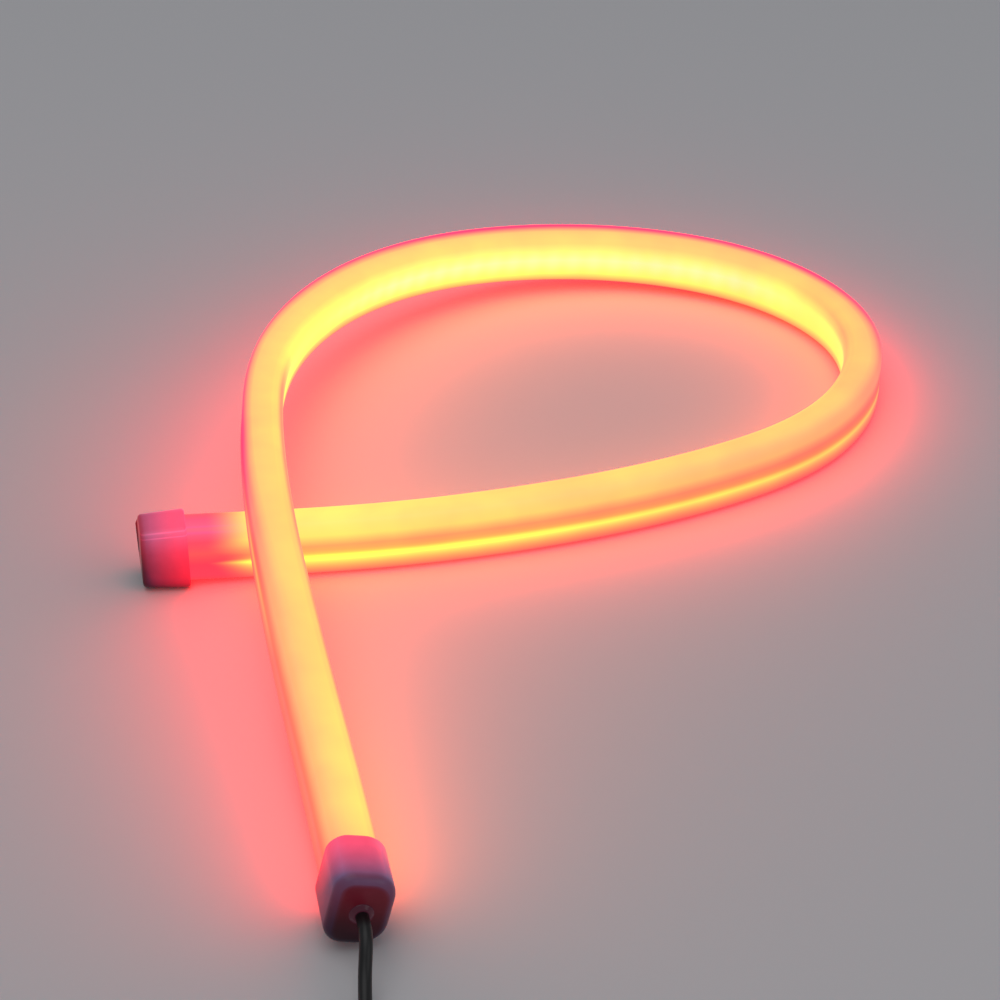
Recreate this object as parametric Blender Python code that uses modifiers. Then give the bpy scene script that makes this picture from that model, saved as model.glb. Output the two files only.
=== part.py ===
"""LED strip light: a silicone light tube laid in a loop, with end caps and a power lead."""

import math

import bmesh
import bpy
import numpy as np
from mathutils import Matrix, Vector

# Units: every length below is in metres, every angle in degrees.
MM = 0.001

# Silicone tube, a D-like section: flat back, rounder emitting side.
TUBE_HEIGHT = 12.0 * MM
TUBE_THICKNESS = 8.0 * MM
TUBE_BACK_RADIUS = 1.8 * MM
TUBE_FRONT_RADIUS = 2.9 * MM

# LED board inside the tube, standing on edge, with its chips towards the emitting side.
LED_PITCH = 5.0 * MM
BOARD_HEIGHT = 4.6 * MM
BOARD_THICKNESS = 0.35 * MM
BOARD_FROM_BACK = 2.6 * MM
CHIP_HEIGHT = 3.5 * MM
CHIP_LENGTH = 2.8 * MM
CHIP_THICKNESS = 0.8 * MM
CHIP_SINK = 0.1 * MM
UNLIT_PITCHES = 1
BOARD_TO_LEAD_END = 2

# Silicone end caps.
CAP_WALL = 0.65 * MM
CAP_SIDE_WALL = 0.9 * MM
CLOSED_CAP_LENGTH = 9.3 * MM
LEAD_CAP_LENGTH = 11.0 * MM
CAP_END_WALL = 1.8 * MM
CAP_END_ROUND = 1.5 * MM
CAP_RIM_ROUND = 0.25 * MM

# Power lead with two cores.
LEAD_DIAMETER = 2.2 * MM
CORE_DIAMETER = 1.0 * MM
TIP_DIAMETER = 0.6 * MM
CORE_LENGTH = 9.0 * MM
TIP_LENGTH = 5.0 * MM
CORE_SPREAD = 12.0
TAIL_LENGTH = 12.0 * MM
COIL_MID_RADIUS = 12.5 * MM
COIL_TURNS_ACROSS = 2
COIL_LAYERS = 2
BEAD_RADIUS = 2.2 * MM
BEAD_HEIGHT = 0.9 * MM

# Gap kept between neighbouring pieces.
GAP = 0.3 * MM

# The line of the tube's centre, chosen by hand: x, y, height of the centre, and how far the emitting
# side leans down, in millimetres and degrees. It starts at the closed end.
TUBE_ROUTE = [
    (-73.1, -9.3, 6.95, 0.0),
    (-65.4, -8.4, 6.95, 0.0),
    (-55.0, -6.8, 6.5, 0.0),
    (-44.0, -5.1, 6.1, 0.0),
    (-32.0, -3.5, 6.03, 0.0),
    (-9.0, 1.0, 6.03, 0.0),
    (14.0, 7.7, 6.03, 0.0),
    (38.0, 18.0, 6.03, 0.0),
    (58.3, 32.3, 6.03, 0.0),
    (70.6, 54.8, 6.03, 0.0),
    (69.8, 75.7, 6.03, 0.0),
    (54.0, 97.0, 6.5, 1.5),
    (31.0, 106.6, 7.5, 6.0),
    (3.0, 106.4, 9.2, 10.5),
    (-24.0, 93.5, 12.4, 13.0),
    (-43.8, 68.8, 15.8, 13.0),
    (-53.3, 30.6, 18.6, 8.0),
    (-52.0, 6.6, 19.3, 5.0),
    (-49.2, -14.0, 19.0, 5.5),
    (-44.5, -38.0, 15.8, 8.5),
    (-38.4, -63.6, 10.6, 11.5),
    (-33.6, -84.0, 8.6, 12.5),
    (-28.2, -110.1, 8.1, 14.0),
]

# The lead after it leaves the cap: x, y and height of its centre, in millimetres, chosen by hand.
LEAD_ROUTE = [
    (-26.9, -121.0, 5.0),
    (-26.6, -129.0, 2.0),
    (-26.6, -137.0, 1.2),
    (-26.6, -141.0, 1.2),
]


def clear_scene():
    """Remove every object that the opened file holds."""
    for item in list(bpy.data.objects):
        bpy.data.objects.remove(item, do_unlink=True)


def new_collection(name):
    """Add a collection to the scene."""
    group = bpy.data.collections.new(name)
    bpy.context.scene.collection.children.link(group)
    return group


def make_material(name, colour, roughness, metallic=0.0):
    """Return a Principled material of one colour."""
    finish = bpy.data.materials.new(name)
    finish.use_nodes = True
    shader = finish.node_tree.nodes["Principled BSDF"]
    shader.inputs["Base Color"].default_value = (*colour, 1.0)
    shader.inputs["Roughness"].default_value = roughness
    shader.inputs["Metallic"].default_value = metallic
    return finish


def smooth_curve(points):
    """Return a function of length that reads a natural cubic curve through the points."""
    rows = np.array(points, dtype=float)
    steps = np.linalg.norm(np.diff(rows[:, :3], axis=0), axis=1)
    knots = np.concatenate([[0.0], np.cumsum(steps)])
    count = len(rows)
    matrix = np.eye(count)
    right = np.zeros_like(rows)
    for i in range(1, count - 1):
        matrix[i, i - 1] = steps[i - 1]
        matrix[i, i] = 2.0 * (steps[i - 1] + steps[i])
        matrix[i, i + 1] = steps[i]
        slope_after = (rows[i + 1] - rows[i]) / steps[i]
        slope_before = (rows[i] - rows[i - 1]) / steps[i - 1]
        right[i] = 6.0 * (slope_after - slope_before)
    bend = np.linalg.solve(matrix, right)

    def read(length):
        i = int(np.clip(np.searchsorted(knots, length) - 1, 0, count - 2))
        span = steps[i]
        before = knots[i + 1] - length
        after = length - knots[i]
        value = bend[i] * before ** 3 / (6.0 * span) + bend[i + 1] * after ** 3 / (6.0 * span)
        value += (rows[i] / span - bend[i] * span / 6.0) * before
        value += (rows[i + 1] / span - bend[i + 1] * span / 6.0) * after
        return value

    return read, knots[-1]


def even_points(points, spacing):
    """Read a smooth curve through the points at equal steps, close to the given spacing."""
    read, total = smooth_curve(points)
    fine = np.array([read(value) for value in np.linspace(0.0, total, 40 * len(points))])
    lengths = np.concatenate([[0.0], np.cumsum(np.linalg.norm(np.diff(fine[:, :3], axis=0), axis=1))])
    wanted = np.linspace(0.0, lengths[-1], round(lengths[-1] / spacing) + 1)
    return np.stack([np.interp(wanted, lengths, fine[:, k]) for k in range(fine.shape[1])], axis=1)


def section_frame(position, tangent, lean):
    """Return the matrix whose X is towards the emitting side, Y up the section and Z along the tube."""
    tangent = Vector(tangent).normalized()
    inward = Vector((0.0, 0.0, 1.0)).cross(tangent).normalized()
    upward = tangent.cross(inward)
    turn = Matrix.Rotation(-math.radians(lean), 3, tangent)
    across = turn @ inward
    upright = turn @ upward
    frame = Matrix.Identity(4)
    for row in range(3):
        frame[row][0] = across[row]
        frame[row][1] = upright[row]
        frame[row][2] = tangent[row]
        frame[row][3] = position[row]
    return frame


def corner_arc(centre, radius, start, steps):
    """Return the points of a quarter circle, anticlockwise from the start angle."""
    angles = [math.radians(start + 90.0 * k / steps) for k in range(steps + 1)]
    return [(centre[0] + radius * math.cos(a), centre[1] + radius * math.sin(a)) for a in angles]


def tube_outline(grow, wider=0.0, steps=4):
    """Return the tube's section, made larger all round by grow, and each side wider still."""
    half_width = TUBE_THICKNESS / 2 + grow + wider
    half_height = TUBE_HEIGHT / 2 + grow
    front = TUBE_FRONT_RADIUS + grow
    back = TUBE_BACK_RADIUS + grow
    points = corner_arc((half_width - front, half_height - front), front, 0, steps)
    points += corner_arc((back - half_width, half_height - back), back, 90, steps - 1)
    points += corner_arc((back - half_width, back - half_height), back, 180, steps - 1)
    points += corner_arc((half_width - front, front - half_height), front, 270, steps)
    return points


def box_outline(low_x, high_x, height):
    """Return a rectangle that is centred on the section's X axis."""
    return [(high_x, -height / 2), (high_x, height / 2), (low_x, height / 2), (low_x, -height / 2)]


def outline_curve(name, points, thickness, group):
    """Add a flat outline as a 2D curve, extruded by half its thickness each way."""
    data = bpy.data.curves.new(name, "CURVE")
    data.dimensions = "2D"
    data.fill_mode = "BOTH"
    data.extrude = thickness / 2
    line = data.splines.new("POLY")
    line.points.add(len(points) - 1)
    for spot, point in zip(line.points, points):
        spot.co = (point[0], point[1], 0.0, 1.0)
    line.use_cyclic_u = True
    item = bpy.data.objects.new(name, data)
    group.objects.link(item)
    return item


def hide_guide(item):
    """Mark an object as a guide that isn't part of the model."""
    item.hide_render = True
    item.display_type = "WIRE"
    return item


def make_mesh(item, group):
    """Turn a curve object into a mesh object with its caps joined on."""
    depsgraph = bpy.context.evaluated_depsgraph_get()
    data = bpy.data.meshes.new_from_object(item.evaluated_get(depsgraph))
    shape = bmesh.new()
    shape.from_mesh(data)
    bmesh.ops.remove_doubles(shape, verts=shape.verts, dist=0.00001)
    bmesh.ops.recalc_face_normals(shape, faces=shape.faces)
    shape.to_mesh(data)
    shape.free()
    name = item.name
    world = item.matrix_world.copy()
    bpy.data.objects.remove(item, do_unlink=True)
    result = bpy.data.objects.new(name, data)
    result.matrix_world = world
    group.objects.link(result)
    return result


def sweep(name, outline, rows, group, guides):
    """Sweep an outline along the rows of centre points and leans, as a mesh object."""
    facing = [(-x, y) for x, y in reversed(outline)]
    profile = hide_guide(outline_curve(name + "_profile", facing, 0.0, guides))
    data = bpy.data.curves.new(name, "CURVE")
    data.dimensions = "3D"
    data.twist_mode = "Z_UP"
    data.bevel_mode = "OBJECT"
    data.bevel_object = profile
    data.use_fill_caps = True
    line = data.splines.new("POLY")
    line.points.add(len(rows) - 1)
    for spot, row in zip(line.points, rows):
        spot.co = (row[0], row[1], row[2], 1.0)
        spot.tilt = -math.radians(row[3])
    item = bpy.data.objects.new(name, data)
    group.objects.link(item)
    bpy.context.view_layer.update()
    return make_mesh(item, group)


def extruded(name, outline, low, high, frame, group):
    """Extrude an outline between two heights of a frame, as a mesh object."""
    item = outline_curve(name, outline, high - low, group)
    bpy.context.view_layer.update()
    item = make_mesh(item, group)
    item.data.transform(Matrix.Translation((0.0, 0.0, (low + high) / 2)))
    item.matrix_world = frame
    return item


def boolean(target, tool, operation):
    """Cut the tool out of the target, or join it on."""
    step = target.modifiers.new(tool.name, "BOOLEAN")
    step.operation = operation
    step.solver = "EXACT"
    step.object = tool
    hide_guide(tool)


def round_end(item, height, size, steps):
    """Round the outer edges of an extruded piece that lie at one height of its own axis."""
    shape = bmesh.new()
    shape.from_mesh(item.data)
    edges = [e for e in shape.edges if all(abs(v.co.z - height) < GAP / 10 for v in e.verts)]
    edges = [e for e in edges if len({round(f.normal.z, 2) for f in e.link_faces}) > 1]
    bmesh.ops.bevel(shape, geom=edges, offset=size, segments=steps, profile=0.5, affect="EDGES")
    shape.to_mesh(item.data)
    shape.free()


def smooth_round(item, angle=40.0):
    """Shade the round parts of a mesh smooth."""
    item.data.shade_smooth()
    item.data.set_sharp_from_angle(angle=math.radians(angle))


def make_tube(stations, parts, cutters):
    """The silicone tube with the channel that holds the board."""
    tube = sweep("silicone_tube", tube_outline(0.0), stations, parts, cutters)
    first = 2 * stations[0] - stations[1]
    last = 2 * stations[-1] - stations[-2]
    longer = np.concatenate([[first], stations, [last]])
    low = BOARD_FROM_BACK - TUBE_THICKNESS / 2 - GAP
    high = low + 2 * GAP + BOARD_THICKNESS + CHIP_THICKNESS
    outline = box_outline(low, high, BOARD_HEIGHT + 2 * GAP)
    channel = sweep("channel", outline, longer, cutters, cutters)
    boolean(tube, channel, "DIFFERENCE")
    tube.data.materials.append(make_material("milky_silicone", (0.90, 0.55, 0.45), 0.45))
    smooth_round(tube)
    return tube


def make_board(stations, parts, cutters):
    """The flexible board with a row of LED chips."""
    rows = stations[UNLIT_PITCHES + 1:len(stations) - BOARD_TO_LEAD_END]
    low = BOARD_FROM_BACK - TUBE_THICKNESS / 2
    high = low + BOARD_THICKNESS
    board = sweep("led_board", box_outline(low, high, BOARD_HEIGHT), rows, parts, cutters)
    shape = bmesh.new()
    for before, after in zip(rows[:-1], rows[1:]):
        middle = (before + after) / 2
        frame = section_frame(middle[:3], after[:3] - before[:3], middle[3])
        spot = Matrix.Translation((high + (CHIP_THICKNESS - CHIP_SINK) / 2, 0.0, 0.0))
        size = Matrix.Diagonal((CHIP_THICKNESS + CHIP_SINK, CHIP_HEIGHT, CHIP_LENGTH, 1.0))
        bmesh.ops.create_cube(shape, size=1.0, matrix=frame @ spot @ size)
    data = bpy.data.meshes.new("chips")
    shape.to_mesh(data)
    shape.free()
    chips = bpy.data.objects.new("chips", data)
    cutters.objects.link(chips)
    boolean(board, chips, "UNION")
    board.data.materials.append(make_material("led_board_white", (0.85, 0.85, 0.82), 0.5))
    return board


def make_cap(name, frame, length, parts, cutters):
    """A silicone cap over one end of the tube; the frame stands at its outer face, Z outwards."""
    outline = tube_outline(GAP + CAP_WALL, CAP_SIDE_WALL - CAP_WALL)
    cap = extruded(name, outline, -length, 0.0, frame, parts)
    round_end(cap, 0.0, CAP_END_ROUND, 3)
    round_end(cap, -length, CAP_RIM_ROUND, 1)
    outline = tube_outline(GAP)
    pocket = extruded(name + "_pocket", outline, -length - CAP_WALL, -CAP_END_WALL, frame, cutters)
    boolean(cap, pocket, "DIFFERENCE")
    cap.data.materials.append(make_material(name + "_silicone", (0.78, 0.45, 0.50), 0.4))
    smooth_round(cap)
    return cap


def drill(target, name, frame, radius, depth, cutters):
    """Cut a round hole through a piece along the frame's Z."""
    shape = bmesh.new()
    bmesh.ops.create_cone(shape, cap_ends=True, segments=24, radius1=radius, radius2=radius,
                          depth=depth)
    data = bpy.data.meshes.new(name)
    shape.to_mesh(data)
    shape.free()
    hole = bpy.data.objects.new(name, data)
    hole.matrix_world = frame
    cutters.objects.link(hole)
    boolean(target, hole, "DIFFERENCE")


def turned(name, profile, steps, frame, group):
    """Turn a closed profile of radius and height points about the frame's Z."""
    data = bpy.data.meshes.new(name)
    count = len(profile)
    edges = [(k, (k + 1) % count) for k in range(count)]
    data.from_pydata([(r, 0.0, z) for r, z in profile], edges, [])
    item = bpy.data.objects.new(name, data)
    item.matrix_world = frame
    group.objects.link(item)
    spin = item.modifiers.new("turn", "SCREW")
    spin.steps = steps
    spin.render_steps = steps
    spin.use_merge_vertices = True
    spin.merge_threshold = 0.00001
    return item


def make_bead(frame, parts):
    """The ring of sealant round the lead where it leaves the cap."""
    inner = LEAD_DIAMETER / 2 + GAP
    profile = [
        (inner, GAP + BEAD_HEIGHT),
        ((inner + BEAD_RADIUS) / 2, GAP + 0.9 * BEAD_HEIGHT),
        (BEAD_RADIUS, GAP + 0.35 * BEAD_HEIGHT),
        (BEAD_RADIUS, GAP),
        (inner, GAP),
    ]
    bead = turned("sealant_bead", profile, 24, frame, parts)
    bead.data.materials.append(make_material("clear_sealant", (0.6, 0.6, 0.65), 0.15))
    return bead


def wire(name, points, diameter, group):
    """A round wire through the points, as a curve object."""
    data = bpy.data.curves.new(name, "CURVE")
    data.dimensions = "3D"
    data.bevel_depth = diameter / 2
    data.bevel_resolution = 2
    data.use_fill_caps = True
    line = data.splines.new("POLY")
    line.points.add(len(points) - 1)
    for spot, point in zip(line.points, points):
        spot.co = (point[0], point[1], point[2], 1.0)
    item = bpy.data.objects.new(name, data)
    group.objects.link(item)
    return item


def make_lead(cap_frame, parts):
    """The power lead: its visible run, the coil of what is left, and its bare end."""
    jacket = make_material("black_pvc", (0.02, 0.02, 0.02), 0.45)
    start = cap_frame @ Vector((0.0, 0.0, -CAP_END_WALL))
    exit_point = cap_frame @ Vector((0.0, 0.0, GAP))
    clear_of_cap = cap_frame @ Vector((0.0, 0.0, 2 * LEAD_DIAMETER))
    route = [start, exit_point, clear_of_cap] + [Vector(p) * MM for p in LEAD_ROUTE]
    run = wire("lead_run", even_points(route, LEAD_DIAMETER), LEAD_DIAMETER, parts)

    coil_width = COIL_TURNS_ACROSS * LEAD_DIAMETER
    coil_height = LEAD_DIAMETER * (1 + (COIL_LAYERS - 1) * math.sin(math.radians(60)))
    outer = COIL_MID_RADIUS + coil_width / 2
    inner = COIL_MID_RADIUS - coil_width / 2
    edge = LEAD_DIAMETER / 4
    end = even_points(route, LEAD_DIAMETER)[-1]
    last_turn = outer - LEAD_DIAMETER / 2
    reach = math.sqrt((outer + GAP) ** 2 - (last_turn - LEAD_DIAMETER / 2) ** 2)
    centre = Vector((end[0] + last_turn, end[1] - reach, 0.0))
    profile = [
        (outer - edge, coil_height),
        (outer, coil_height - edge),
        (outer, edge),
        (outer - edge, 0.0),
        (inner + edge, 0.0),
        (inner, edge),
        (inner, coil_height - edge),
        (inner + edge, coil_height),
    ]
    coil = turned("lead_coil", profile, 40, Matrix.Translation(centre), parts)

    tail_start = centre + Vector((reach, -last_turn, LEAD_DIAMETER / 2))
    tail_end = tail_start + Vector((TAIL_LENGTH, 0.0, 0.0))
    tail = wire("lead_tail", [tail_start, tail_end], LEAD_DIAMETER, parts)
    for item in (run, coil, tail):
        item.data.materials.append(jacket)
    pieces = [run, coil, tail]
    tin = make_material("tinned_copper", (0.7, 0.7, 0.7), 0.3, 1.0)
    for side, letter, colour in ((1, "a", (0.5, 0.02, 0.02)), (-1, "b", (0.03, 0.03, 0.03))):
        direction = Matrix.Rotation(side * math.radians(CORE_SPREAD), 3, "Z") @ Vector((1.0, 0.0, 0.0))
        sideways = side * (CORE_DIAMETER + GAP) / 2
        core_start = tail_end + Vector((GAP, sideways, CORE_DIAMETER / 2 - LEAD_DIAMETER / 2))
        core_end = core_start + direction * CORE_LENGTH
        tip_start = core_end + direction * GAP
        tip_end = tip_start + direction * TIP_LENGTH
        core = wire("lead_core_" + letter, [core_start, core_end], CORE_DIAMETER, parts)
        tip = wire("lead_tip_" + letter, [tip_start, tip_end], TIP_DIAMETER, parts)
        core.data.materials.append(make_material("core_" + letter, colour, 0.4))
        tip.data.materials.append(tin)
        pieces += [core, tip]
    return pieces


def world_corners(items):
    """Return the corners of the evaluated objects' boxes."""
    bpy.context.view_layer.update()
    depsgraph = bpy.context.evaluated_depsgraph_get()
    spots = []
    for item in items:
        ready = item.evaluated_get(depsgraph)
        data = ready.to_mesh()
        spots += [ready.matrix_world @ v.co for v in data.vertices]
        ready.to_mesh_clear()
    return spots


def stand_on_origin(body, everything):
    """Hang pieces and cutters on an empty so that the body stands on the floor, centred."""
    spots = world_corners(body)
    low = [min(s[k] for s in spots) for k in range(3)]
    high = [max(s[k] for s in spots) for k in range(3)]
    layout = bpy.data.objects.new("layout", None)
    bpy.context.scene.collection.objects.link(layout)
    layout.location = (-(low[0] + high[0]) / 2, -(low[1] + high[1]) / 2, -low[2])
    for item in everything:
        item.parent = layout


def main():
    clear_scene()
    parts = new_collection("led_strip_light")
    cutters = new_collection("cutters")

    route = [(x * MM, y * MM, z * MM, lean) for x, y, z, lean in TUBE_ROUTE]
    stations = even_points(route, LED_PITCH)
    tube = make_tube(stations, parts, cutters)
    board = make_board(stations, parts, cutters)

    along = stations[1][:3] - stations[0][:3]
    along[2] = 0.0  # this cap lies level on the floor
    closed = section_frame(stations[0][:3], along, stations[0][3])
    closed = closed @ Matrix.Rotation(math.pi, 4, "X") @ Matrix.Translation((0, 0, GAP + CAP_END_WALL))
    end_cap = make_cap("end_cap", closed, CLOSED_CAP_LENGTH, parts, cutters)

    opened = section_frame(stations[-1][:3], stations[-1][:3] - stations[-2][:3], stations[-1][3])
    opened = opened @ Matrix.Translation((0, 0, GAP + CAP_END_WALL))
    lead_cap = make_cap("lead_cap", opened, LEAD_CAP_LENGTH, parts, cutters)
    drill(lead_cap, "lead_hole", opened, LEAD_DIAMETER / 2 + GAP, 3 * CAP_END_WALL, cutters)
    bead = make_bead(opened, parts)

    lead = make_lead(opened, parts)
    body = [tube, board, end_cap, lead_cap, bead]
    stand_on_origin(body, body + lead + list(cutters.objects))


main()
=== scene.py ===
"""LED strip light: a glowing silicone tube laid in a loop, with its end caps, lead and stage."""
import math

import bmesh
import bpy
import numpy as np
from mathutils import Matrix, Vector


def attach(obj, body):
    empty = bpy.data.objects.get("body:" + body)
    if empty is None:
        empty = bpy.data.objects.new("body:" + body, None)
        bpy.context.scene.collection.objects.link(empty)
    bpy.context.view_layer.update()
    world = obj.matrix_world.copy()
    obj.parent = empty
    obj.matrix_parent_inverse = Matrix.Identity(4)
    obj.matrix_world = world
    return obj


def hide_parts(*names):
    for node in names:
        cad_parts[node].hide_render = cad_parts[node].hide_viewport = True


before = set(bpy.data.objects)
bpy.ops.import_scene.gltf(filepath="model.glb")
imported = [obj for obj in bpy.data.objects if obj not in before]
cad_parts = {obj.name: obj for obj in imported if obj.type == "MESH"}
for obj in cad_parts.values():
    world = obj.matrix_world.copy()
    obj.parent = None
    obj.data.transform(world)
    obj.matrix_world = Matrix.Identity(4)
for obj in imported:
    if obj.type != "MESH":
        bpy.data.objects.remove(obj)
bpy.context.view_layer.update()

bl_info = {
    "name": "LED Strip Light",
    "version": (1, 0, 0),
    "blender": (4, 5, 0),
    "location": "View3D > Sidebar > LED Strip",
    "description": "Builds a glowing silicone strip light laid in a loop, with its caps and lead",
    "category": "Object",
}

MM = 0.001

# The line of the tube's centre from the closed end: x, y and height in millimetres, and how far
# the emitting side leans down in degrees.
TUBE_ROUTE = [
    (-73.1, -9.3, 6.95, 0.0), (-65.4, -8.4, 6.95, 0.0), (-55.0, -6.8, 6.5, 0.0),
    (-44.0, -5.1, 6.1, 0.0), (-32.0, -3.5, 6.03, 0.0), (-9.0, 1.0, 6.03, 0.0),
    (14.0, 7.7, 6.03, 0.0), (38.0, 18.0, 6.03, 0.0), (58.3, 32.3, 6.03, 0.0),
    (70.6, 54.8, 6.03, 0.0), (69.8, 75.7, 6.03, 0.0), (54.0, 97.0, 6.5, 1.5),
    (31.0, 106.6, 7.5, 6.0), (3.0, 106.4, 9.2, 10.5), (-24.0, 93.5, 12.4, 13.0),
    (-43.8, 68.8, 15.8, 13.0), (-53.3, 30.6, 18.6, 8.0), (-52.0, 6.6, 19.3, 5.0),
    (-49.2, -14.0, 19.0, 5.5), (-44.5, -38.0, 15.8, 8.5), (-38.4, -63.6, 10.6, 11.5),
    (-33.6, -84.0, 8.6, 12.5), (-28.2, -110.1, 8.1, 14.0),
]
# The lead's way from the lead cap to the floor, in millimetres.
LEAD_ROUTE = [
    (-26.9, -121.0, 5.0), (-26.6, -129.0, 2.0), (-26.6, -137.0, 1.2), (-26.6, -141.0, 1.2),
]
# The shift that centres the strip on the origin.
LAYOUT_SHIFT = Vector((0.0, 0.555, 0.0)) * MM

# Gap kept between neighbouring pieces, how near two places count as one, and the LED spacing.
GAP = 0.3 * MM
TOUCH = 0.01 * MM
LED_PITCH = 5.0 * MM

# How far apart the points of the tube's line are, and how many cuts its block gets in each of
# two rounds before it is bent.
TUBE_STEP = 2.0 * MM
TUBE_CUTS = 20

# How far apart the lead's points are, and how many one turn of its coil has.
LEAD_STEP = 1.5 * MM
POINTS_PER_TURN = 40

# A level of brightness, as the eye sees it, is raised to this to give light.
GAMMA = 2.2


# Settings

class TubeSettings(bpy.types.PropertyGroup):
    """Sizes and light of the silicone tube."""
    height: bpy.props.FloatProperty(
        name="Height", description="Height of the tube's section",
        default=12.0 * MM, unit="LENGTH")
    thickness: bpy.props.FloatProperty(
        name="Thickness", description="From the flat back to the emitting side",
        default=8.0 * MM, unit="LENGTH")
    back_radius: bpy.props.FloatProperty(
        name="Back radius", description="Rounding of the two back edges",
        default=1.8 * MM, unit="LENGTH")
    front_radius: bpy.props.FloatProperty(
        name="Front radius", description="Rounding of the two edges of the emitting side",
        default=2.9 * MM, unit="LENGTH")
    light: bpy.props.FloatProperty(
        name="Light", description="Strength of the light that the tube gives off",
        default=6.0, min=0.1)
    skin_colour: bpy.props.StringProperty(
        name="Skin colour", description="sRGB hex colour of the silicone beside its own light",
        default="#7A1A12")


class CapSettings(bpy.types.PropertyGroup):
    """Sizes and colours of the two end caps and of the sealant round the lead."""
    wall: bpy.props.FloatProperty(
        name="Wall", description="Wall above and below the tube", default=0.65 * MM, unit="LENGTH")
    side_wall: bpy.props.FloatProperty(
        name="Side wall", description="Wall at the tube's back and emitting side",
        default=0.9 * MM, unit="LENGTH")
    end_wall: bpy.props.FloatProperty(
        name="End wall", description="Wall at the closed end", default=1.8 * MM, unit="LENGTH")
    closed_round: bpy.props.FloatProperty(
        name="Closed end rounding", description="Rounding of the edge at the closed cap's end",
        default=0.7 * MM, unit="LENGTH")
    lead_round: bpy.props.FloatProperty(
        name="Lead end rounding", description="Rounding of the edge at the lead cap's end",
        default=1.8 * MM, unit="LENGTH")
    rim_round: bpy.props.FloatProperty(
        name="Rim rounding", description="Rounding of the rim round the tube",
        default=0.5 * MM, unit="LENGTH")
    closed_corners: bpy.props.FloatVectorProperty(
        name="Closed cap corners", description="Rounding at the closed cap's back and emitting side",
        size=2, default=(2.2 * MM, 3.5 * MM), unit="LENGTH")
    lead_corners: bpy.props.FloatVectorProperty(
        name="Lead cap corners", description="Rounding at the lead cap's back and emitting side",
        size=2, default=(3.3 * MM, 4.4 * MM), unit="LENGTH")
    closed_length: bpy.props.FloatProperty(
        name="Closed cap length", description="Length of the cap without a lead",
        default=9.3 * MM, unit="LENGTH")
    lead_length: bpy.props.FloatProperty(
        name="Lead cap length", description="Length of the cap that the lead comes out of",
        default=11.0 * MM, unit="LENGTH")
    closed_taper: bpy.props.FloatProperty(
        name="Closed end taper", description="Size of the closed end as a share of its rim's",
        default=0.955, min=0.5, max=1.0, subtype="FACTOR")
    closed_skew: bpy.props.FloatProperty(
        name="Closed end skew", description="Turn of the closed end to the side",
        default=math.radians(4.7), subtype="ANGLE")
    closed_lean: bpy.props.FloatProperty(
        name="Closed end lean", description="Tilt of the closed end",
        default=math.radians(2.5), subtype="ANGLE")
    rim_skew: bpy.props.FloatProperty(
        name="Closed cap rim skew", description="Turn of the closed cap's rim to the side",
        default=math.radians(4.0), subtype="ANGLE")
    sealant_ring: bpy.props.FloatProperty(
        name="Sealant ring", description="Radius at the middle of the ring of sealant",
        default=1.58 * MM, unit="LENGTH")
    sealant_bead: bpy.props.FloatProperty(
        name="Sealant bead", description="Radius of the bead of sealant",
        default=0.50 * MM, unit="LENGTH")
    colour: bpy.props.StringProperty(
        name="Colour", description="sRGB hex colour of the caps", default="#2A1016")
    pale_colour: bpy.props.StringProperty(
        name="Paler colour", description="sRGB hex colour of the paler clouds in the caps",
        default="#34161E")


class LeadSettings(bpy.types.PropertyGroup):
    """Sizes and colours of the power lead."""
    diameter: bpy.props.FloatProperty(
        name="Diameter", description="Outer diameter of the lead",
        default=2.2 * MM, unit="LENGTH")
    coil_radius: bpy.props.FloatProperty(
        name="Coil radius", description="Radius at the middle of the coil's turns",
        default=12.5 * MM, unit="LENGTH")
    tail: bpy.props.FloatProperty(
        name="Tail", description="Straight length after the coil", default=12.0 * MM, unit="LENGTH")
    core_diameter: bpy.props.FloatProperty(
        name="Core diameter", description="Diameter of each coloured core",
        default=1.0 * MM, unit="LENGTH")
    core_length: bpy.props.FloatProperty(
        name="Core length", description="Length of each bare core",
        default=9.0 * MM, unit="LENGTH")
    tip_length: bpy.props.FloatProperty(
        name="Tip length", description="Length of the tinned end", default=5.0 * MM, unit="LENGTH")
    tip_diameter: bpy.props.FloatProperty(
        name="Tip diameter", description="Diameter of the tinned end",
        default=0.6 * MM, unit="LENGTH")
    spread: bpy.props.FloatProperty(
        name="Spread", description="Angle of each core from the lead's line",
        default=math.radians(12.0), subtype="ANGLE")
    strand_twist: bpy.props.FloatProperty(
        name="Strand twist", description="Twist of the strands over the tip's length",
        default=math.radians(300.0), subtype="ANGLE")
    jacket_colour: bpy.props.StringProperty(
        name="Jacket colour", description="sRGB hex colour of the lead", default="#030304")
    jacket_streaks: bpy.props.StringProperty(
        name="Jacket streaks", description="sRGB hex colour of the lead's paler streaks",
        default="#08080A")
    red_colour: bpy.props.StringProperty(
        name="Red core colour", description="sRGB hex colour of the red core", default="#8E0A0A")
    red_streaks: bpy.props.StringProperty(
        name="Red core streaks", description="sRGB hex colour of the red core's paler streaks",
        default="#A51212")
    black_colour: bpy.props.StringProperty(
        name="Black core colour", description="sRGB hex colour of the black core",
        default="#0A0A0A")
    black_streaks: bpy.props.StringProperty(
        name="Black core streaks", description="sRGB hex colour of the black core's paler streaks",
        default="#161616")


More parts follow.
